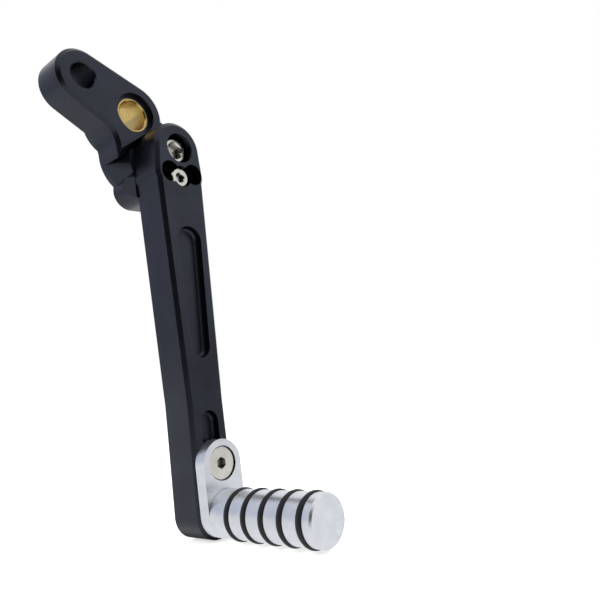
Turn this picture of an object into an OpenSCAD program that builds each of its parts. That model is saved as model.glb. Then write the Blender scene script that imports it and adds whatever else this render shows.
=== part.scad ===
// Adjustable gear shift lever for a motorcycle: a milled hub that turns on a brass bush,
// a chamfered arm bolted to its front, and a turned toe peg with five rubber rings.
// X runs to the right, Y away from the rider's boot, Z up. The origin is the centre of
// the pivot bore on the hub's rear boss face; the arm hangs down and the peg points to -Y.

/* [Pivot] */
// Bore of the brass bush that the lever turns on
bore_d = 12; // [8:0.5:14]
// Wall of the bush
bush_wall = 1; // [0.8:0.1:1.3]
// Depth of the bush below the hub's front face
bush_recess = 2.4; // [1:0.1:4]
// Width of the ledge around the bush
bush_ledge = 1.6; // [0.5:0.1:1.8]
// Radius of the hub around the bush
pivot_boss_r = 13.2; // [12.5:0.1:14]
// Radius of the round boss behind the hub
rear_boss_r = 14.1; // [12:0.1:15]
// Height of the round boss behind the hub
rear_boss_h = 3.5; // [1:0.5:6]

/* [Linkage] */
// Distance from the pivot to the linkage hole
link_reach = 24.7; // [24:0.1:40]
// Direction of the linkage hole, up from +X
link_angle = 154.6; // [150:0.2:165]
// Linkage hole diameter
link_d = 10; // [6:0.5:12]
// Radius of the hub's end around the linkage hole
link_boss_r = 11; // [9:0.1:12]
// Chamfer at each mouth of the linkage hole
link_chamfer = 0.65; // [0.2:0.05:1]

/* [Hub] */
// Thickness of the hub without its rear boss
hub_t = 15; // [13:0.5:20]
// Depth of the step that the arm sits in
seat_depth = 2.2; // [1:0.1:2.6]
// Edge chamfer on the hub's front
hub_chamfer = 1.5; // [0.5:0.1:2]
// Radius of the shoulder beside the arm
shoulder_r = 16.4; // [14:0.1:17]
// How far the shoulder's left side lies from the pivot
shoulder_left = 9.8; // [9:0.1:11]
// Height of the shoulder's centre below the pivot
shoulder_drop = 15.5; // [14:0.1:18]
// Thickness of the shoulder's rim, behind its sloping side
shoulder_rim = 2.7; // [1:0.1:4]
// How far the sloping side lies from the pivot at its front
slope_left = 2.9; // [2:0.1:6]
// Radius of the sloping side at its front
slope_r = 13.5; // [12:0.1:15]
// Radius of the sweep between the linkage arm and the shoulder
sweep_r = 11.5; // [8:0.5:14]
// Corner radius of the hub's lower end
tail_r = 7.3; // [6.5:0.1:7.6]
// Width between the lower corners' centres
tail_span = 12.5; // [10:0.5:14]
// Direction of the step's upper edge, up from +X
step_angle = 35; // [33:0.2:38]
// Distance of the step's upper edge from the pivot
step_reach = 8.9; // [8.8:0.1:9.2]

/* [Bolts] */
// How far the pivot bolt lies to the right of the bore
bolt_x = 10; // [8:0.5:12]
// How far the pivot bolt lies below the bore
bolt_drop = 17.7; // [17:0.1:20]
// Thread diameter of the pivot bolt
bolt_d = 6; // [5:1:6]
// Head diameter of the pivot bolt
bolt_head_d = 10; // [9:0.1:10.5]
// Head height of the pivot bolt
bolt_head_h = 6; // [4:0.5:7]
// Hexagon socket of the pivot bolt, across its flats
bolt_hex = 6; // [5:1:6]
// Depth of the pivot bolt's head below the arm's face
bolt_sink = 3.3; // [1:0.1:4]
// Length of the pivot bolt under its head
bolt_len = 18; // [14:1:18]
// Thread diameter of the lock bolt
lock_d = 5; // [4:1:5]
// Head diameter of the lock bolt
lock_head_d = 7.9; // [7:0.1:8.2]
// Head height of the lock bolt
lock_head_h = 3.5; // [2.5:0.5:5]
// Hexagon socket of the lock bolt, across its flats
lock_hex = 3.5; // [3:0.5:4]
// Depth of the lock bolt's head below the arm's face
lock_sink = 1.7; // [0.5:0.1:3]
// Length of the lock bolt under its head
lock_len = 20; // [16:1:22]
// Distance from the pivot bolt to the lock bolt
lock_reach = 11.9; // [11.2:0.1:13]
// Angle between one lock position and the next
lock_step = 28; // [24:1:34]
// Diameter of the recess at each lock position
lock_recess_d = 8.7; // [8.5:0.1:9]

/* [Arm] */
// Distance from the pivot bolt down to the toe peg
arm_len = 144.7; // [120:1:170]
// Thickness of the arm
arm_t = 15.5; // [14:0.5:18]
// Edge chamfer on the arm's front
arm_chamfer = 1.5; // [0.5:0.1:2]
// How far the arm's outline lies to the left of its bolts
arm_shift = 0.4; // [0:0.1:0.7]
// Radius of the arm's top
arm_top_r = 10.9; // [10.4:0.1:11]
// Radius of the arm around each outer lock position
arm_lobe_r = 6.1; // [5.8:0.1:6.6]
// Half width of the arm beside the lock bolt
arm_upper_w = 11.1; // [10.6:0.1:11.6]
// Half width of the arm at its bend
arm_bend_w = 8.7; // [8:0.1:10]
// Radius of the arm's lower end
arm_end_r = 9.3; // [9.2:0.1:11]
// How far the lower end's centre lies below the toe peg
arm_end_drop = 0.8; // [0:0.1:2]
// Height of the bend above the toe peg
bend_z = 42; // [40:1:50]

/* [Pockets] */
// Depth of the pockets in the arm's front
pocket_depth = 3.4; // [2.4:0.1:5]
// Round at the foot of the pocket walls
pocket_fillet = 1.4; // [0.5:0.1:2]
// Distance of the long pocket's upper end from the pivot bolt
pocket_top = 32.7; // [30:0.5:40]
// Distance of the long pocket's lower end from the toe peg
pocket_bottom = 59; // [55:0.5:70]
// Half width of the long pocket at its upper end
pocket_upper_w = 5.7; // [4:0.1:7]
// Half width of the long pocket at its lower end
pocket_lower_w = 4.4; // [3:0.1:6]
// Distance of the short pocket's upper end from the toe peg
keyway_top = 38.6; // [34:0.2:39]
// Half width of the short pocket
keyway_w = 4.2; // [3.6:0.1:4.6]

/* [Toe peg] */
// Radius of the peg
peg_r = 9; // [8:0.1:9.2]
// Length of the peg in front of its tab
peg_len = 49.5; // [46:0.5:60]
// Thickness of the tab
tab_t = 5; // [4.5:0.1:8]
// Chamfer at the peg's end
peg_chamfer = 0.7; // [0.3:0.1:1.5]
// Distance from the peg's axis up to its screw
screw_rise = 18.5; // [17:0.5:21]
// Thread diameter of the toe screw
screw_d = 6; // [5:1:6]
// Head diameter of the toe screw
screw_head_d = 12; // [11:0.1:12]
// Hexagon socket of the toe screw, across its flats
screw_hex = 4; // [4:1:5]
// Diameter of the recess around the toe screw's head
recess_d = 13; // [12.5:0.1:13.5]
// Depth of the screw's face below the tab's front
screw_drop = 0.7; // [0.3:0.1:1]
// Length of the toe screw, head included
screw_len = 16; // [12:1:18]
// Height of the key on the tab's back
key_h = 1.9; // [1:0.1:1.9]
// Length of the key between its round ends
key_len = 8; // [5:0.5:8.5]

/* [Rings] */
// Number of rubber rings
ring_count = 5; // [5:1:5]
// Thickness of each ring
ring_t = 2.8; // [2:0.1:3]
// How far a ring stands out of the peg
ring_proud = 0.6; // [0.3:0.1:1]
// Distance from one ring to the next
ring_pitch = 8.8; // [6:0.1:9]
// Plain length of the peg beyond the last ring's groove
ring_end = 3.7; // [2:0.1:5]

/* [Hidden] */

// Facets around circles and around the corners of hulls
fine = 96;
corner = 48;
// Overshoot of a cut past the face that it starts from
over = 1;
// Radial clearances: a bolt in a plain hole, and in its thread or its seat
hole_clear = 0.1;
fit_clear = 0.02;
// Gap between the arm's round top and the step in the hub
step_gap = 0.3;
// Bush lead-in and thread-end chamfers
lead_in = 0.4;
thread_chamfer = 0.6;
// Edge chamfer on the bolt heads, and how far a socket's chamfered mouth passes its corners
head_chamfer = 0.4;
socket_mouth = 0.2;

// How far the recess around the toe screw goes on below its head's edge
recess_gap = 0.6;

// Places along Y: the rear boss face is at zero and the front lies at negative Y
hub_back = -rear_boss_h;
hub_front = hub_back - hub_t;
seat_y = hub_front + seat_depth;
arm_front = seat_y - arm_t;
tab_front = arm_front - tab_t;
peg_end = tab_front - peg_len;
screw_face = tab_front + screw_drop;

// Places in the XZ plane, written as [x, z]
pivot_at = [0, 0];
link_at = link_reach * [cos(link_angle), sin(link_angle)];
bolt_at = [bolt_x, -bolt_drop];
peg_at = bolt_at - [0, arm_len];
bend_at = peg_at + [0, bend_z];
arm_end_at = peg_at - [arm_shift / 2, arm_end_drop];
arm_top_at = bolt_at - [arm_shift, 0];
screw_at = peg_at + [0, screw_rise];
shoulder_at = [shoulder_r - shoulder_left, -shoulder_drop];
tail_z = bolt_at[1] - lock_reach - 0.2;
tail_corners = [for (side = [-1, 1]) [bolt_at[0] - 1 + side * tail_span / 2, tail_z]];
lock_spots = [for (turn = [-1, 0, 1])
    bolt_at + lock_reach * [sin(turn * lock_step), -cos(turn * lock_step)]];
lock_at = lock_spots[1];

bush_od = bore_d + 2 * bush_wall;
recess_r = bush_od / 2 + bush_ledge;

// The lower edge of the linkage arm, a line tangent to both of its round ends
edge_slope = atan2(link_at[1], link_at[0]) - 180
    - asin((pivot_boss_r - link_boss_r) / link_reach);
edge_normal = [sin(edge_slope), -cos(edge_slope)];
edge_reach = pivot_boss_r;
sweep_x = -shoulder_left - sweep_r;
sweep_at = [sweep_x, (edge_reach + sweep_r - edge_normal[0] * sweep_x) / edge_normal[1]];
sweep_touch = sweep_at - sweep_r * edge_normal;

// The O-ring grooves, counted from the arm
groove_w = ring_t + 2 * fit_clear;
groove_r = peg_r + ring_proud - ring_t - fit_clear;
function ring_y(i) = peg_end + ring_end + groove_w / 2 + (ring_count - i) * ring_pitch;

// A round bar along Y from one depth to another, centred on a place in the XZ plane
module bar(at, r, front, back, facets = fine) {
    translate([at[0], back, at[1]])
        rotate([90, 0, 0])
            cylinder(r = r, h = back - front, $fn = facets);
}

// A cone along Y with its own radius at each end
module taper(at, r_front, r_back, front, back, facets = fine) {
    translate([at[0], back, at[1]])
        rotate([90, 0, 0])
            cylinder(r1 = r_back, r2 = r_front, h = back - front, $fn = facets);
}

// A flat outline in the XZ plane, extruded along Y
module plate(front, back) {
    translate([0, back, 0])
        rotate([90, 0, 0])
            linear_extrude(height = back - front)
                children();
}

// A disc with a chamfered front edge, the corner piece of the milled outlines
module chamfered_disc(at, r, c, front, back, facets = corner) {
    bar(at, r, front + c, back, facets);
    taper(at, r - c, r, front, front + c, facets);
}

// A hexagon socket, sunk from the front of a bolt head
module hex_socket(at, across, front, depth) {
    translate([at[0], front + depth, at[1]])
        rotate([90, 0, 0])
            rotate(30)
                cylinder(d = across / cos(30), h = depth + over, $fn = 6);
}

// The chamfered mouth of a hexagon socket
module socket_chamfer(at, across, front) {
    mouth_r = across / 2 / cos(30) + socket_mouth;
    mouth_h = mouth_r - across / 2;
    taper(at, mouth_r + over, mouth_r - mouth_h, front - over, front + mouth_h, corner);
}

// The shank of a bolt: a plain bar with a chamfered end
module shank(at, d, front, back) {
    bar(at, d / 2, front, back - thread_chamfer);
    taper(at, d / 2, d / 2 - thread_chamfer, back - thread_chamfer, back);
}

// The body that fills the corner between the linkage arm and the shoulder, swept round
module hub_sweep() {
    inner = [0, -shoulder_drop];
    difference() {
        plate(hub_front, hub_back)
            polygon([sweep_touch, [-shoulder_left, sweep_at[1]], inner, pivot_at]);
        plate(hub_front - over, hub_back + over)
            polygon([sweep_touch + 20 * edge_normal, sweep_touch,
                     sweep_at, [sweep_x, sweep_at[1] - 20]]);
        bar(sweep_at, sweep_r, hub_front - over, hub_back + over);
        taper(sweep_at, sweep_r + hub_chamfer + over, sweep_r,
              hub_front - over, hub_front + hub_chamfer);
    }
}

// What is milled off the shoulder's left side below the step, down to a side that slopes
// in from the rim to the arm's seat
module shoulder_slope() {
    rim_y = hub_back - shoulder_rim;
    front_y = seat_y - over;
    step_foot = seat_depth + step_reach;
    right = 2;
    low = -33;
    difference() {
        plate(front_y, rim_y)
            polygon([[right, (right * sin(step_angle) - step_foot) / cos(step_angle)],
                     [right, low],
                     [(low * cos(step_angle) + step_foot) / sin(step_angle), low]]);
        hull() {
            bar(shoulder_at, shoulder_r, rim_y, rim_y + over);
            bar([slope_r - slope_left, bolt_at[1] - 2.8], slope_r, front_y - 0.01, front_y);
        }
        hull()
            for (at = tail_corners)
                bar(at, tail_r, front_y - over, rim_y + over, corner);
    }
}

// The milled outline of the hub before its holes
module hub_blank() {
    hull() {
        chamfered_disc(link_at, link_boss_r, hub_chamfer, hub_front, hub_back);
        chamfered_disc(pivot_at, pivot_boss_r, hub_chamfer, hub_front, hub_back);
    }
    chamfered_disc(shoulder_at, shoulder_r, hub_chamfer, hub_front, hub_back, fine);
    hub_sweep();
    hull()
        for (at = tail_corners)
            chamfered_disc(at, tail_r, hub_chamfer, hub_front, hub_back);
    bar(pivot_at, rear_boss_r, hub_back - rear_boss_h, 0);
}

// The step that the arm sits in: a sloping wall across the hub with all on the bolts' side
// of it milled away, and a relief around the arm's round top
module arm_seat() {
    far = 60;
    rotate([0, -step_angle, 0])
        translate([-far, 0, 0])
            rotate([90, 0, 90])
                linear_extrude(height = 2 * far)
                    polygon([[hub_front - over, over - step_reach],
                             [seat_y, -seat_depth - step_reach],
                             [seat_y, -far], [hub_front - over, -far]]);
    bar(arm_top_at, arm_top_r + step_gap, hub_front - over, seat_y);
}

module hub() {
    color("#33363c")
        difference() {
            hub_blank();
            arm_seat();
            shoulder_slope();
            bar(pivot_at, bush_od / 2 + fit_clear / 2, hub_front - over, over);
            bar(pivot_at, recess_r, hub_front - over, hub_front + bush_recess);
            bar(link_at, link_d / 2, hub_front - over, hub_back + over);
            taper(link_at, link_d / 2 + link_chamfer + over, link_d / 2,
                  hub_front - over, hub_front + link_chamfer);
            taper(link_at, link_d / 2, link_d / 2 + link_chamfer + over,
                  hub_back - link_chamfer, hub_back + over);
            bar(bolt_at, bolt_d / 2 + fit_clear, hub_front - over, hub_back + over);
            bar(lock_at, lock_d / 2 + fit_clear, hub_front - over, hub_back + over);
        }
}

module pivot_bush() {
    front = hub_front + bush_recess;
    color("#c9a14e")
        difference() {
            bar(pivot_at, bush_od / 2, front, 0);
            bar(pivot_at, bore_d / 2, front - over, over);
            taper(pivot_at, bore_d / 2 + lead_in + over, bore_d / 2, front - over, front + lead_in);
        }
}

// The arm's outline in three convex blocks: the head, the upper bar and the foot
module arm_blank() {
    hull() {
        chamfered_disc(arm_top_at, arm_top_r, arm_chamfer, arm_front, seat_y, fine);
        for (i = [0, 2])
            chamfered_disc(lock_spots[i] - [arm_shift, 0], arm_lobe_r, arm_chamfer, arm_front, seat_y);
    }
    hull() {
        bar_slice([arm_top_at[0], lock_at[1]], arm_upper_w);
        bar_slice(bend_at, arm_bend_w);
    }
    hull() {
        bar_slice(bend_at, arm_bend_w);
        chamfered_disc(arm_end_at, arm_end_r, arm_chamfer, arm_front, seat_y, fine);
    }
}

// A thin cross-section of the arm, chamfered on both front edges
module bar_slice(at, w) {
    translate([at[0], 0, at[1]])
        linear_extrude(height = 0.01)
            polygon([[-w, seat_y], [w, seat_y], [w, arm_front + arm_chamfer],
                     [w - arm_chamfer, arm_front], [-w + arm_chamfer, arm_front],
                     [-w, arm_front + arm_chamfer]]);
}

// A pocket cutter with round ends and a rounded foot, like the path of a bull-nose mill
module pocket_cutter(top_at, top_r, low_at, low_r) {
    foot = arm_front + pocket_depth;
    hull()
        for (end = [[top_at, top_r], [low_at, low_r]]) {
            bar(end[0], end[1], arm_front - over, foot - pocket_fillet, corner);
            for (k = [1 : 4])
                let (a = k * 22.5, inset = pocket_fillet * (1 - cos(a)))
                    bar(end[0], end[1] - inset, foot - pocket_fillet - 0.01,
                        foot - pocket_fillet * (1 - sin(a)), corner);
        }
}

module arm() {
    keyway_low = screw_at - [0, key_len / 2];
    color("#33363c")
        difference() {
            arm_blank();
            pocket_cutter([bolt_at[0], bolt_at[1] - pocket_top - pocket_upper_w], pocket_upper_w,
                          peg_at + [-arm_shift / 2, pocket_bottom + pocket_lower_w], pocket_lower_w);
            pocket_cutter(peg_at + [0, keyway_top - keyway_w], keyway_w, keyway_low, keyway_w);
            bar(bolt_at, bolt_head_d / 2 + 1.1, arm_front - over, arm_front + bolt_sink + bolt_head_h);
            bar(bolt_at, bolt_d / 2 + hole_clear, arm_front, seat_y + over);
            for (at = lock_spots) {
                bar(at, lock_recess_d / 2, arm_front - over, arm_front + lock_sink + lock_head_h);
                bar(at, lock_d / 2 + hole_clear, arm_front, seat_y + over);
            }
            bar(screw_at, screw_d / 2 + fit_clear, arm_front, tab_front + screw_len + over);
        }
}

module pivot_bolt() {
    face = arm_front + bolt_sink;
    seat = face + bolt_head_h;
    color("#d9dbdf")
        difference() {
            union() {
                chamfered_disc(bolt_at, bolt_head_d / 2, head_chamfer, face, seat, fine);
                shank(bolt_at, bolt_d, seat, seat + bolt_len);
            }
            hex_socket(bolt_at, bolt_hex, face, 3);
            socket_chamfer(bolt_at, bolt_hex, face);
        }
}

module lock_bolt() {
    face = arm_front + lock_sink;
    seat = face + lock_head_h;
    color("#d9dbdf")
        difference() {
            union() {
                chamfered_disc(lock_at, lock_head_d / 2, head_chamfer, face, seat, fine);
                shank(lock_at, lock_d, seat, seat + lock_len);
            }
            hex_socket(lock_at, lock_hex, face, 2);
            socket_chamfer(lock_at, lock_hex, face);
        }
}

// The tab's outline: as wide as the peg, with a round end at the peg and at the screw
module tab_outline() {
    translate(peg_at)
        circle(r = peg_r, $fn = fine);
    translate(screw_at)
        circle(r = peg_r, $fn = fine);
    translate(peg_at - [peg_r, 0])
        square([2 * peg_r, screw_rise]);
}

// The key on the tab's back, which keeps the peg from turning on its one screw
module key_outline() {
    r = keyway_w - fit_clear;
    for (end = [-1, 1])
        translate(screw_at + [0, end * key_len / 2])
            circle(r = r, $fn = corner);
    translate(screw_at - [r, key_len / 2])
        square([2 * r, key_len]);
}

module toe_peg() {
    color("#d3d6da")
        difference() {
            union() {
                plate(tab_front, arm_front) tab_outline();
                plate(arm_front - 0.01, arm_front + key_h) key_outline();
                bar(peg_at, peg_r, peg_end + peg_chamfer, tab_front + over);
                taper(peg_at, peg_r - peg_chamfer, peg_r, peg_end, peg_end + peg_chamfer);
            }
            for (i = [1 : ring_count])
                difference() {
                    bar(peg_at, peg_r + over, ring_y(i) - groove_w / 2, ring_y(i) + groove_w / 2);
                    bar(peg_at, groove_r, ring_y(i) - groove_w, ring_y(i) + groove_w);
                }
            bar(screw_at, screw_d / 2 + hole_clear, tab_front, arm_front + key_h + over);
            bar(screw_at, recess_d / 2, tab_front - over, screw_face + recess_gap);
            taper(screw_at, screw_head_d / 2, 0, screw_face, screw_face + screw_head_d / 2);
        }
}

module toe_screw() {
    cone_h = (screw_head_d - screw_d) / 2;
    color("#c9c8c2")
        difference() {
            union() {
                taper(screw_at, screw_head_d / 2 - fit_clear, screw_d / 2,
                      screw_face, screw_face + cone_h);
                shank(screw_at, screw_d, screw_face + cone_h - 0.01, tab_front + screw_len);
            }
            hex_socket(screw_at, screw_hex, screw_face, 2.4);
        }
}

module o_ring(i) {
    color("#26262a")
        translate([peg_at[0], ring_y(i), peg_at[1]])
            rotate([90, 0, 0])
                rotate_extrude($fn = fine)
                    translate([peg_r + ring_proud - ring_t / 2, 0])
                        circle(d = ring_t, $fn = corner);
}

hub();
pivot_bush();
arm();
pivot_bolt();
lock_bolt();
toe_peg();
toe_screw();
o_ring(1);  // o_ring_1
o_ring(2);  // o_ring_2
o_ring(3);  // o_ring_3
o_ring(4);  // o_ring_4
o_ring(5);  // o_ring_5
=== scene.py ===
# %% [markdown]
# # A motorcycle gear shift lever
#
# The lever is an assembly of milled and turned metal pieces: a black anodised hub that turns
# on a brass bush, a black anodised arm bolted to it, and a bright toe peg with rubber rings.
# The solids come from the CAD model and are already in place, in metres. This lesson gives
# them smooth, lit surfaces, adds the small repeated details that the solids leave out, and
# sets up a pale studio.

# %% Load the solids
import math

import bmesh
import bpy
from mathutils import Euler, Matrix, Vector


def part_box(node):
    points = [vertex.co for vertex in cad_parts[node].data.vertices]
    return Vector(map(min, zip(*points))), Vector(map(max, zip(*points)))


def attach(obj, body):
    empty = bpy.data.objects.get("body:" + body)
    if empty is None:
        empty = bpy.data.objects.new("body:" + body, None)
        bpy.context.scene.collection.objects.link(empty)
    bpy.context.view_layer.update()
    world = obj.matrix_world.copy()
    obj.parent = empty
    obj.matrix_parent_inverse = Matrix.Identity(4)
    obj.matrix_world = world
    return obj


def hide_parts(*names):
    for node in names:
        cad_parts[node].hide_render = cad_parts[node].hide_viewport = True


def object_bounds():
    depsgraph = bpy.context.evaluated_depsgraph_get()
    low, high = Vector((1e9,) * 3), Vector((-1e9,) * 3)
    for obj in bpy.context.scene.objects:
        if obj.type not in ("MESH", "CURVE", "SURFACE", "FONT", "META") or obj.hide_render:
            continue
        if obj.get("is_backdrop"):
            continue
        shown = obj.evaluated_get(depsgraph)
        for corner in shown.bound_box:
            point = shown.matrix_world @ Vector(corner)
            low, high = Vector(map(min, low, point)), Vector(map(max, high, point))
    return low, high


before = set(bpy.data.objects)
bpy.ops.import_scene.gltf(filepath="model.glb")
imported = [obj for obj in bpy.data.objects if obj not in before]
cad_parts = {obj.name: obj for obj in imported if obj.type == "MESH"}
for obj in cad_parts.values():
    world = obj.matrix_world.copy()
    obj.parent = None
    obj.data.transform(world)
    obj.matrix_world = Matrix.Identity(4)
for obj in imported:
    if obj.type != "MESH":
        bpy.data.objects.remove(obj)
scene = bpy.context.scene
cad_low, cad_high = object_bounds()
MM = 0.001
print("CAD box in mm:", [round((b - a) / MM, 1) for a, b in zip(cad_low, cad_high)])

# %% [markdown]
# The camera stands to the left of the lever, in front of it and a little below the hub, and
# looks slightly upwards. That shows the hub's underside and the peg's top at once. The focal
# length is given for a sensor 36 mm wide.

# %% Camera
camera = bpy.data.objects.new("camera", bpy.data.cameras.new("camera"))
scene.collection.objects.link(camera)
camera.data.sensor_width = 36
camera.data.lens = 37.909
camera.data.clip_start = 0.01
camera.location = Vector((-147.996, -226.628, -114.133)) * MM
camera.rotation_euler = Euler([math.radians(a) for a in (96.608, 7.282, -47.525)], "XYZ")
scene.camera = camera
print("camera is", round((camera.location - (cad_low + cad_high) / 2).length / MM), "mm away")

# %% [markdown]
# Colours are written as sRGB hex values, as a colour picker shows them, and one function
# turns them to the linear values that Blender's shaders work in. A second small function adds
# a node, sets it up and links it, which keeps each material short.


# %% Helpers for colours and nodes
def linear(hex_colour):
    channels = [int(hex_colour[i:i + 2], 16) / 255 for i in (1, 3, 5)]
    return [c / 12.92 if c <= 0.04045 else ((c + 0.055) / 1.055) ** 2.4 for c in channels] + [1]


def add_node(tree, kind, inputs=None, **settings):
    """Adds a node. Settings are its properties; inputs are values, or sockets to link from."""
    node = tree.nodes.new(kind)
    for name, value in settings.items():
        setattr(node, name, value)
    for name, value in (inputs or {}).items():
        socket = node.inputs[name]
        if isinstance(value, bpy.types.NodeSocket):
            tree.links.new(value, socket)
        else:
            socket.default_value = value
    return node


def new_material(name):
    """A material with an empty tree, its surface shader and object coordinates."""
    material = bpy.data.materials.new(name)
    material.use_nodes = True
    tree = material.node_tree
    tree.nodes.clear()
    surface = add_node(tree, "ShaderNodeBsdfPrincipled")
    output = add_node(tree, "ShaderNodeOutputMaterial", {"Surface": surface.outputs[0]})
    output.location = (300, 0)
    place = add_node(tree, "ShaderNodeTexCoord").outputs["Object"]
    return material, tree, surface, place


# %% [markdown]
# Real milled edges are never perfectly sharp: deburring leaves a radius of a few tenths of a
# millimetre, and that radius is what catches the light. The Bevel shader node gives every
# edge that radius in the shading, without changing the mesh. It feeds the bump node, so that
# grain and tool marks lie on top of the rounded normal. Turned pieces, whose grooves lie
# close together, go without it.


# %% Helper for rounded edges with grain
def rounded_bump(tree, surface, height, depth, edge_radius=0):
    bump = add_node(tree, "ShaderNodeBump", {"Height": height, "Strength": 1,
                                             "Distance": depth * MM})
    if edge_radius:
        edges = add_node(tree, "ShaderNodeBevel", {"Radius": edge_radius * MM}, samples=6)
        tree.links.new(edges.outputs[0], bump.inputs["Normal"])
    tree.links.new(bump.outputs[0], surface.inputs["Normal"])


# %% [markdown]
# Narrow places are painted darker here, as painted shade for the light that bounces about and is
# lost in them. The Ambient Occlusion node measures how much a point is hemmed in. This helper mixes
# from a dark painted-shade colour in such places to the open colour elsewhere, and paints shade on
# the bright edge that metals show at a flat angle by toning it down there.


# %% Helper for painted shade in recesses
def painted_recess_shade(tree, surface, open_colour, painted_shade_hex, reach, full=0.75):
    """Places hemmed in within reach mm take the dark painted-shade colour; past `full` openness none
    is mixed in.
    """
    openness = add_node(tree, "ShaderNodeAmbientOcclusion", {"Distance": reach * MM},
                        samples=8, only_local=False)
    share = add_node(tree, "ShaderNodeMapRange", {"Value": openness.outputs["AO"],
                                                  "From Min": full - 0.4, "From Max": full})
    # Painted shade: the base colour runs to the dark colour where the AO node finds a point hemmed
    # in.
    mixed = add_node(tree, "ShaderNodeMix", {0: share.outputs[0], 6: linear(painted_shade_hex),
                                             7: open_colour}, data_type="RGBA")
    tree.links.new(mixed.outputs[2], surface.inputs["Base Color"])
    # Painted shade on the grazing edge: its tint falls towards black in hemmed-in places.
    tree.links.new(share.outputs[0], surface.inputs["Specular Tint"])


# %% [markdown]
# Black anodised aluminium: the milled block is bead blasted, then a porous oxide layer is
# grown on it and dyed black. The oxide is clear, so the surface keeps a cool, metallic sheen
# over a nearly black body. The blasted grain is about 0.15 mm wide, and the dye is a little
# uneven over a centimetre or two.


# %% Black anodised aluminium
def black_anodised():
    material, tree, surface, place = new_material("black_anodised_aluminium")
    grain = add_node(tree, "ShaderNodeTexNoise", {"Vector": place, "Scale": 1 / (0.15 * MM),
                                                  "Detail": 2, "Roughness": 0.6})
    cloud = add_node(tree, "ShaderNodeTexNoise", {"Vector": place, "Scale": 1 / (14 * MM),
                                                  "Detail": 3, "Roughness": 0.55})
    dye = add_node(tree, "ShaderNodeValToRGB", {"Fac": cloud.outputs["Fac"]})
    dye.color_ramp.elements[0].position = 0.3
    dye.color_ramp.elements[0].color = linear("#303239")
    dye.color_ramp.elements[1].position = 0.7
    dye.color_ramp.elements[1].color = linear("#363943")
    # Painted shade: within 14 mm, hemmed-in places and their grazing edges are mixed towards
    # near-black #0c0c0e.
    painted_recess_shade(tree, surface, dye.outputs["Color"], "#0c0c0e", reach=14, full=0.52)
    sheen = add_node(tree, "ShaderNodeMapRange", {"Value": cloud.outputs["Fac"],
                                                  "To Min": 0.27, "To Max": 0.34})
    tree.links.new(sheen.outputs[0], surface.inputs["Roughness"])
    surface.inputs["Metallic"].default_value = 0.9
    rounded_bump(tree, surface, grain.outputs["Fac"], depth=0.004, edge_radius=0.25)
    return material


# %% [markdown]
# A turned surface carries the spiral that the lathe tool leaves. On a wall it shows as fine
# rings along the axis, and on an end face as circles round the axis. Two Wave textures give
# both: bands along Y and rings round Y. A Mapping node first moves the pattern's centre to
# the axis of the piece.


# %% Helper for the lathe's tool marks
def tool_marks(tree, place, axis, pitch):
    """Height of turned grooves, pitch mm apart, about the axis through (x, z) in mm."""
    centred = add_node(tree, "ShaderNodeMapping",
                       {"Vector": place, "Location": (-axis[0] * MM, 0, -axis[1] * MM)})
    frequency = 2 * math.pi / (20 * pitch * MM)
    along = add_node(tree, "ShaderNodeTexWave", {"Vector": centred.outputs[0], "Scale": frequency},
                     wave_type="BANDS", bands_direction="Y")
    around = add_node(tree, "ShaderNodeTexWave", {"Vector": centred.outputs[0], "Scale": frequency},
                      wave_type="RINGS", rings_direction="Y")
    both = add_node(tree, "ShaderNodeMath", {0: along.outputs["Fac"], 1: around.outputs["Fac"]},
                    operation="ADD")
    return both.outputs[0]


# %% [markdown]
# Three turned finishes use those marks. Bare aluminium is turned bright and then lightly
# blasted. Brass is the bush's warm copper and zinc alloy, bored to size. Stainless steel is
# slightly warmer and darker than aluminium. They differ in colour, in roughness and in how
# coarse the tool's feed was, so one function makes them all.


# %% Turned metals
def turned_metal(name, dark, light, roughness, axis, pitch, depth, recess_shade_hex="#3c3a37", reach=2):
    material, tree, surface, place = new_material(name)
    blotch = add_node(tree, "ShaderNodeTexNoise", {"Vector": place, "Scale": 1 / (5 * MM),
                                                   "Detail": 4, "Roughness": 0.6})
    tone = add_node(tree, "ShaderNodeValToRGB", {"Fac": blotch.outputs["Fac"]})
    tone.color_ramp.elements[0].position = 0.3
    tone.color_ramp.elements[0].color = linear(dark)
    tone.color_ramp.elements[1].position = 0.7
    tone.color_ramp.elements[1].color = linear(light)
    # Painted shade: places hemmed in within reach mm are mixed towards the dark recess colour.
    painted_recess_shade(tree, surface, tone.outputs["Color"], recess_shade_hex, reach, full=0.6)
    dull = add_node(tree, "ShaderNodeMapRange", {"Value": blotch.outputs["Fac"],
                                                 "To Min": roughness - 0.04,
                                                 "To Max": roughness + 0.05})
    tree.links.new(dull.outputs[0], surface.inputs["Roughness"])
    surface.inputs["Metallic"].default_value = 1
    marks = tool_marks(tree, place, axis, pitch)
    rounded_bump(tree, surface, marks, depth)
    return material


# %% [markdown]
# The rings are black nitrile rubber, pressed in a two-part mould: matt, nearly black and a
# little cloudy from handling.


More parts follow.
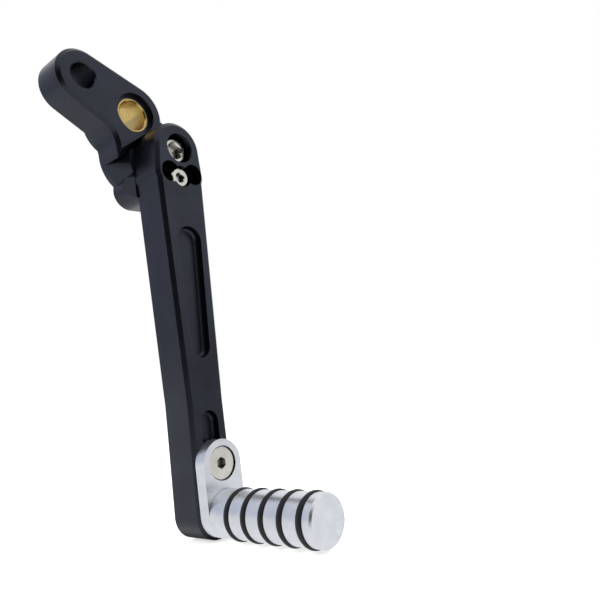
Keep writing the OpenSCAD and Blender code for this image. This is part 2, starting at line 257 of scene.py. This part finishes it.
# %% Black rubber
def black_rubber():
    material, tree, surface, place = new_material("black_nitrile_rubber")
    dust = add_node(tree, "ShaderNodeTexNoise", {"Vector": place, "Scale": 1 / (2.5 * MM),
                                                 "Detail": 5, "Roughness": 0.65})
    tone = add_node(tree, "ShaderNodeValToRGB", {"Fac": dust.outputs["Fac"]})
    tone.color_ramp.elements[0].position = 0.35
    tone.color_ramp.elements[0].color = linear("#0f0f14")
    tone.color_ramp.elements[1].position = 0.75
    tone.color_ramp.elements[1].color = linear("#18181e")
    tree.links.new(tone.outputs["Color"], surface.inputs["Base Color"])
    surface.inputs["Roughness"].default_value = 0.5
    surface.inputs["Specular IOR Level"].default_value = 0.35
    pores = add_node(tree, "ShaderNodeTexNoise", {"Vector": place, "Scale": 1 / (0.2 * MM),
                                                  "Detail": 2})
    bump = add_node(tree, "ShaderNodeBump", {"Height": pores.outputs["Fac"], "Strength": 1,
                                             "Distance": 0.012 * MM})
    tree.links.new(bump.outputs[0], surface.inputs["Normal"])
    return material


# %% [markdown]
# The axes of the turned pieces are read from the boxes of the solids, so that the patterns
# stay centred if the CAD model changes.


# %% Axes of the turned pieces
def axis_of(node):
    """Centre (x, z) in mm of a solid whose axis runs along Y."""
    low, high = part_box(node)
    return ((low.x + high.x) / 2 / MM, (low.z + high.z) / 2 / MM)


peg_axis = axis_of("o_ring_1")
print("peg axis:", [round(v, 2) for v in peg_axis], "pivot bolt:", axis_of("pivot_bolt"))

anodised = black_anodised()
rubber = black_rubber()
brass = turned_metal("bored_brass", "#b69a5b", "#c8b174", 0.24, axis_of("pivot_bush"), 0.3, 0.004)
peg_metal = turned_metal("turned_bare_aluminium", "#d1d5dc", "#e1e4e9", 0.33, peg_axis, 0.35, 0.003)
steel = {}
# The bolts get stronger painted shade: near black within 4 mm, which darkens their sockets.
for node in ("pivot_bolt", "lock_bolt", "toe_screw"):
    steel[node] = turned_metal("stainless_steel_" + node, "#c3c1ba", "#d6d4ce", 0.22,
                               axis_of(node), 0.25, 0.003, recess_shade_hex="#161514", reach=4)

# %% [markdown]
# The hub's lower end has its front left edge milled off at a slant, up to the arm's back. The
# solid has that edge square, so the visible copy alone is cut, with a Boolean modifier. The
# cutter is a slab that lies outside the slanted plane. A slab of other depth changes nothing.


# %% Slanted edge of the hub's tail
def slab(name, foot, outward, low, high, depth):
    """An upright slab from z = low to high, whose inner face goes through foot. In mm."""
    outward = Vector((outward[0], outward[1], 0)).normalized()
    along = Vector((-outward.y, outward.x, 0)) * depth
    base = Vector((foot[0], foot[1], 0))
    ring = [base - along, base + along, base + along + outward * depth,
            base - along + outward * depth]
    points = [(Vector((p.x, p.y, z)) * MM) for z in (low, high) for p in ring]
    mesh = bpy.data.meshes.new(name)
    mesh.from_pydata(points, [], [(0, 1, 2, 3), (7, 6, 5, 4), (0, 4, 5, 1), (1, 5, 6, 2),
                                  (2, 6, 7, 3), (3, 7, 4, 0)])
    shell = bmesh.new()
    shell.from_mesh(mesh)
    bmesh.ops.recalc_face_normals(shell, faces=shell.faces)
    shell.to_mesh(mesh)
    shell.free()
    return mesh


def cut_away(mesh, cutter_mesh):
    """The mesh less the cutter."""
    carrier = bpy.data.objects.new("cut_carrier", mesh)
    cutter = bpy.data.objects.new("cutter", cutter_mesh)
    for thing in (carrier, cutter):
        scene.collection.objects.link(thing)
    cut = carrier.modifiers.new("cut", "BOOLEAN")
    cut.operation = "DIFFERENCE"
    cut.object = cutter
    evaluated = carrier.evaluated_get(bpy.context.evaluated_depsgraph_get())
    result = bpy.data.meshes.new_from_object(evaluated)
    for thing in (carrier, cutter):
        bpy.data.objects.remove(thing)
    return result


arm_low, arm_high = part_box("arm")
tail_cutter = slab("tail_cutter", foot=(-2.2, arm_high.y / MM), outward=(-0.93, -0.37),
                   low=-45, high=-26.4, depth=20)
print("the arm's back lies at y =", round(arm_high.y / MM, 2), "mm")

# %% [markdown]
# The imported solids are loose triangles with their own stored normals. A copy of each drops
# those, is merged into one skin and is shaded smooth, with edges sharper than 20 degrees
# kept crisp. Round walls then look round. The Weighted Normal modifier lets the large faces
# decide the normals at their corners, so that flat faces stay flat beside rounds. The copy
# stands for its solid.


# %% Smooth copies of the solids
def smooth_copy(node, name, material, cutter=None):
    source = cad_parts[node]
    mesh = source.data.copy()
    if mesh.has_custom_normals:
        mesh.attributes.remove(mesh.attributes["custom_normal"])
    shell = bmesh.new()
    shell.from_mesh(mesh)
    bmesh.ops.remove_doubles(shell, verts=shell.verts, dist=5e-6)
    shell.to_mesh(mesh)
    shell.free()
    if cutter:
        mesh = cut_away(mesh, cutter)
    mesh.shade_smooth()
    mesh.set_sharp_from_angle(angle=math.radians(20))
    mesh.materials.clear()
    mesh.materials.append(material)
    carrier = bpy.data.objects.new(name + "_carrier", mesh)
    scene.collection.objects.link(carrier)
    weighted = carrier.modifiers.new("weighted", "WEIGHTED_NORMAL")
    weighted.mode = "FACE_AREA"
    weighted.keep_sharp = True
    evaluated = carrier.evaluated_get(bpy.context.evaluated_depsgraph_get())
    mesh = bpy.data.meshes.new_from_object(evaluated)
    mesh.name = name
    bpy.data.objects.remove(carrier)
    piece = bpy.data.objects.new(name, mesh)
    scene.collection.objects.link(piece)
    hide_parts(node)
    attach(piece, "root")
    print(name, "has", len(mesh.polygons), "faces")
    return piece


smooth_copy("hub", "milled_hub", anodised, cutter=tail_cutter)
smooth_copy("arm", "milled_arm", anodised)
smooth_copy("pivot_bush", "brass_bush", brass)
smooth_copy("toe_peg", "turned_toe_peg", peg_metal)
for node, name in (("pivot_bolt", "pivot_socket_bolt"), ("lock_bolt", "lock_socket_bolt"),
                   ("toe_screw", "toe_countersunk_screw")):
    smooth_copy(node, name, steel[node])

# %% [markdown]
# The rubber rings repeat along the peg at one pitch, so Geometry Nodes make them: a line of
# points, a ring placed on each, and the ring itself swept from two circles. The sizes are
# named inputs, measured from the solids. The result is turned into a plain mesh, because an
# exported model can't hold a modifier or an instance.


# %% Helpers for Geometry Nodes
def new_tree(name, inputs):
    """A geometry node tree with named number inputs; returns it with its two end nodes."""
    tree = bpy.data.node_groups.new(name, "GeometryNodeTree")
    tree.interface.new_socket("Geometry", in_out="OUTPUT", socket_type="NodeSocketGeometry")
    for label, kind in inputs:
        tree.interface.new_socket(label, in_out="INPUT", socket_type="NodeSocket" + kind)
    start = add_node(tree, "NodeGroupInput")
    end = add_node(tree, "NodeGroupOutput")
    return tree, start, end


def finish_tree(tree, end, geometry, material):
    real = add_node(tree, "GeometryNodeRealizeInstances", {"Geometry": geometry})
    smooth = add_node(tree, "GeometryNodeSetShadeSmooth", {"Geometry": real.outputs[0]})
    painted = add_node(tree, "GeometryNodeSetMaterial", {"Geometry": smooth.outputs[0],
                                                         "Material": material})
    tree.links.new(painted.outputs[0], end.inputs[0])


def mesh_from_tree(name, tree, values):
    """Runs a tree once with these input values and keeps the result as a plain mesh."""
    carrier = bpy.data.objects.new(name + "_carrier", bpy.data.meshes.new(name + "_carrier"))
    scene.collection.objects.link(carrier)
    modifier = carrier.modifiers.new("nodes", "NODES")
    modifier.node_group = tree
    for item in tree.interface.items_tree:
        if item.in_out == "INPUT":
            modifier[item.identifier] = values[item.name]
    evaluated = carrier.evaluated_get(bpy.context.evaluated_depsgraph_get())
    mesh = bpy.data.meshes.new_from_object(evaluated)
    mesh.name = name
    bpy.data.objects.remove(carrier)
    piece = bpy.data.objects.new(name, mesh)
    scene.collection.objects.link(piece)
    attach(piece, "root")
    print(name, "has", len(mesh.polygons), "faces")
    return piece


# %% Rubber rings
ring_tree, start, end = new_tree("rubber_rings", [
    ("Ring count", "Int"), ("Ring pitch", "Float"), ("Ring radius", "Float"),
    ("Rubber radius", "Float"), ("First ring", "Vector")])
step = add_node(ring_tree, "ShaderNodeCombineXYZ", {"Y": start.outputs["Ring pitch"]})
line = add_node(ring_tree, "GeometryNodeMeshLine", {
    "Count": start.outputs["Ring count"], "Start Location": start.outputs["First ring"],
    "Offset": step.outputs[0]})
path = add_node(ring_tree, "GeometryNodeCurvePrimitiveCircle",
                {"Resolution": 128, "Radius": start.outputs["Ring radius"]})
section = add_node(ring_tree, "GeometryNodeCurvePrimitiveCircle",
                   {"Resolution": 28, "Radius": start.outputs["Rubber radius"]})
swept = add_node(ring_tree, "GeometryNodeCurveToMesh", {"Curve": path.outputs[0],
                                                        "Profile Curve": section.outputs[0]})
rings = add_node(ring_tree, "GeometryNodeInstanceOnPoints", {
    "Points": line.outputs[0], "Instance": swept.outputs[0],
    "Rotation": (math.radians(90), 0, 0)})
finish_tree(ring_tree, end, rings.outputs[0], rubber)

ring_nodes = ["o_ring_%d" % i for i in range(1, 6)]
ring_low, ring_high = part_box(ring_nodes[-1])
second_low, second_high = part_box(ring_nodes[-2])
rubber_radius = (ring_high.y - ring_low.y) / 2
rubber_rings = mesh_from_tree("rubber_rings", ring_tree, {
    "Ring count": len(ring_nodes), "Ring pitch": second_low.y - ring_low.y,
    "Ring radius": (ring_high.x - ring_low.x) / 2 - rubber_radius,
    "Rubber radius": rubber_radius, "First ring": (ring_low + ring_high) / 2})
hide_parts(*ring_nodes)

# %% [markdown]
# A socket bolt's head has straight knurling round its side, so that it can be started by hand. Each
# ridge is a slim square bar with one corner outwards, and Geometry Nodes set the bars round a
# circle. Only the corners stand out of the head, by about a tenth of a millimetre. The ridges' steel
# is painted much darker, as painted shade for the narrow grooves between them.

# %% Knurled heads
knurl_tree, start, end = new_tree("knurled_head", [
    ("Ridge count", "Int"), ("Head radius", "Float"), ("Ridge length", "Float"),
    ("Ridge size", "Float"), ("Head centre", "Vector")])
bar = add_node(knurl_tree, "GeometryNodeMeshCylinder",
               {"Vertices": 4, "Radius": start.outputs["Ridge size"],
                "Depth": start.outputs["Ridge length"]})
circle = add_node(knurl_tree, "GeometryNodeMeshCircle",
                  {"Vertices": start.outputs["Ridge count"], "Radius": start.outputs["Head radius"]})
place = add_node(knurl_tree, "GeometryNodeInputPosition")
outward = add_node(knurl_tree, "FunctionNodeAlignRotationToVector",
                   {"Vector": place.outputs[0]}, axis="X", pivot_axis="Z")
ridges = add_node(knurl_tree, "GeometryNodeInstanceOnPoints", {
    "Points": circle.outputs[0], "Instance": bar.outputs[0], "Rotation": outward.outputs[0]})
turned = add_node(knurl_tree, "GeometryNodeTransform", {
    "Geometry": ridges.outputs[0], "Rotation": (math.radians(90), 0, 0),
    "Translation": start.outputs["Head centre"]})
# Painted shade: nearly black steel for the ridges, in place of the shade between them.
knurl_steel_painted_dark = turned_metal("knurled_steel_painted_shade", "#26252a", "#38373a", 0.4, (0, 0), 0.3, 0.003)
finish_tree(knurl_tree, end, turned.outputs[0], knurl_steel_painted_dark)

for node, head_length, ridge_count in (("pivot_bolt", 6, 48), ("lock_bolt", 3.5, 40)):
    low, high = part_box(node)
    knurl = mesh_from_tree(node + "_knurling", knurl_tree, {
        "Ridge count": ridge_count, "Head radius": (high.x - low.x) / 2 - 0.1 * MM,
        "Ridge length": (head_length - 1.4) * MM, "Ridge size": 0.2 * MM,
        "Head centre": Vector(((low.x + high.x) / 2, low.y + (head_length / 2 + 0.2) * MM,
                               (low.z + high.z) / 2))})

# %% [markdown]
# The studio is plain: a white floor and a white surround, one large soft lamp from the upper
# right and a fainter one from the left rear. Cards stand round it, as a photographer sets
# them: a black one near the camera gives the front chamfers something dark to reflect, and
# grey ones calm the left side and the peg's tab. They act on reflections only, and neither
# the camera nor the shadows show them.


# %% Floor
def white_floor():
    material, tree, surface, place = new_material("white_paper_floor")
    surface.inputs["Base Color"].default_value = linear("#f4f4f4")
    surface.inputs["Roughness"].default_value = 0.9
    rays = add_node(tree, "ShaderNodeLightPath")
    lift = add_node(tree, "ShaderNodeMath", {0: rays.outputs["Is Camera Ray"], 1: 0.6},
                    operation="MULTIPLY")
    glow = add_node(tree, "ShaderNodeEmission", {"Color": (1, 1, 1, 1),
                                                 "Strength": lift.outputs[0]})
    lifted = add_node(tree, "ShaderNodeAddShader", {0: surface.outputs[0], 1: glow.outputs[0]})
    mirrored = add_node(tree, "ShaderNodeMath", {0: rays.outputs["Is Glossy Ray"],
                                                 1: rays.outputs["Is Transmission Ray"]},
                        operation="MAXIMUM")
    white = add_node(tree, "ShaderNodeEmission", {"Color": (1, 1, 1, 1), "Strength": 1})
    mixed = add_node(tree, "ShaderNodeMixShader", {0: mirrored.outputs[0],
                                                   1: lifted.outputs[0], 2: white.outputs[0]})
    output = next(n for n in tree.nodes if n.type == "OUTPUT_MATERIAL")
    tree.links.new(mixed.outputs[0], output.inputs["Surface"])
    return material


def flat_panel(name, centre, size, turn, material):
    """A rectangle of size (width, height) in metres, turned by Euler angles in degrees."""
    corners = [Vector((x * size[0] / 2, y * size[1] / 2, 0))
               for x, y in ((-1, -1), (1, -1), (1, 1), (-1, 1))]
    rotation = Euler([math.radians(a) for a in turn], "XYZ").to_matrix()
    mesh = bpy.data.meshes.new(name)
    mesh.from_pydata([Vector(centre) + rotation @ c for c in corners], [], [(0, 1, 2, 3)])
    mesh.materials.append(material)
    panel = bpy.data.objects.new(name, mesh)
    scene.collection.objects.link(panel)
    panel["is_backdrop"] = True
    return panel


floor_z = cad_low.z - 0.3 * MM
floor = flat_panel("floor", (0, 0, floor_z), (8, 8), (0, 0, 0), white_floor())
print("floor at", round(floor_z / MM, 1), "mm")

# %% Surround and lamps
world = bpy.data.worlds.new("surround")
scene.world = world
world.use_nodes = True
tree = world.node_tree
tree.nodes.clear()
rays = add_node(tree, "ShaderNodeLightPath")
seen = add_node(tree, "ShaderNodeMath", {0: rays.outputs["Is Camera Ray"],
                                         1: rays.outputs["Is Glossy Ray"]}, operation="MAXIMUM")
seen = add_node(tree, "ShaderNodeMath", {0: seen.outputs[0], 1: rays.outputs["Is Transmission Ray"]},
                operation="MAXIMUM")
level = add_node(tree, "ShaderNodeMapRange", {"Value": seen.outputs[0], "To Min": 0.55, "To Max": 1})
surround = add_node(tree, "ShaderNodeBackground", {"Color": (1, 1, 1, 1),
                                                   "Strength": level.outputs[0]})
add_node(tree, "ShaderNodeOutputWorld", {"Surface": surround.outputs[0]})


def soft_lamp(name, place, aim, size, watts):
    lamp = bpy.data.lights.new(name, "AREA")
    lamp.shape = "RECTANGLE"
    lamp.size, lamp.size_y = size
    lamp.energy = watts
    light = bpy.data.objects.new(name, lamp)
    light.location = place
    light.rotation_mode = "QUATERNION"
    light.rotation_quaternion = (Vector(aim) - Vector(place)).to_track_quat("-Z", "Y")
    light.visible_glossy = False
    scene.collection.objects.link(light)
    return light


middle = (cad_low + cad_high) / 2
soft_lamp("key_lamp", (0.55, -0.5, 0.65), middle, (0.5, 0.5), 9)
soft_lamp("rear_lamp", (-0.7, 0.5, 0.35), middle, (0.5, 0.5), 5)

# %% Cards
def card(name, colour, toward, size, lift=0):
    """An upright card 0.5 m from the middle that only reflections see, in linear colours."""
    material = bpy.data.materials.new(name)
    material.use_nodes = True
    material.node_tree.nodes.clear()
    tone = add_node(material.node_tree, "ShaderNodeEmission", {"Color": (*colour, 1)})
    add_node(material.node_tree, "ShaderNodeOutputMaterial", {"Surface": tone.outputs[0]})
    toward = Vector((toward[0], toward[1], 0)).normalized()
    turn = (90, 0, math.degrees(math.atan2(toward.y, toward.x)) + 90)
    panel = flat_panel(name, middle + toward * 0.5 + Vector((0, 0, lift)), size, turn, material)
    for kind in ("camera", "diffuse", "transmission", "volume_scatter", "shadow"):
        setattr(panel, "visible_" + kind, False)


card("black_card", (0, 0, 0), (-0.80, -0.60), (0.7, 0.8), lift=-0.02)
card("grey_rear_card", (0.64, 0.67, 0.78), (-0.50, 0.83), (0.5, 0.5), lift=0.22)
card("grey_front_card", (0.45, 0.45, 0.45), (0.55, -0.83), (0.26, 0.26), lift=-0.10)

# %% [markdown]
# At the end the box of the dressed model is printed, as the CAD box was at the start: the looks must
# not change the size.

# %% Sizes and finish
low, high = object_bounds()
print("dressed box in mm:", [round((b - a) / MM, 1) for a, b in zip(low, high)])
scene.view_settings.view_transform = "Standard"
